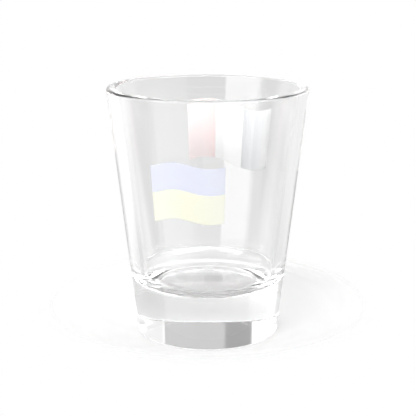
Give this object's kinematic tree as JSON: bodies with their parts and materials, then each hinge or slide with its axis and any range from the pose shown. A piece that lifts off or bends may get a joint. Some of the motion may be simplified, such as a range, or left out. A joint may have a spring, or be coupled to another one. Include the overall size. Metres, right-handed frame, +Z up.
{
  "type": "shot glass",
  "caption": "Tapered clear pressed-glass shot glass with a thick solid base and a softly rounded lip, printed with pale waving banded flags on its front and back.",
  "frame": {"origin": "centre of the foot, on the surface that the glass stands on", "axes": "+Z up along the axis of the glass, -Y towards the front, +X to the viewer's right"},
  "size_m": [0.048, 0.048, 0.06],
  "materials": {
    "clear_glass": "clear, fire polished",
    "ink_sky_blue": "fired print, satin",
    "ink_pale_yellow": "fired print, satin",
    "ink_grey_blue": "fired print, satin",
    "ink_white": "fired print, satin",
    "ink_pale_red": "fired print, satin"
  },
  "bodies": {
    "root": {"glass_body": "clear_glass", "front_band_blue": "ink_sky_blue", "front_band_yellow": "ink_pale_yellow", "back_band_blue": "ink_grey_blue", "back_band_white": "ink_white", "back_band_red": "ink_pale_red"}
  },
  "joints": []
}
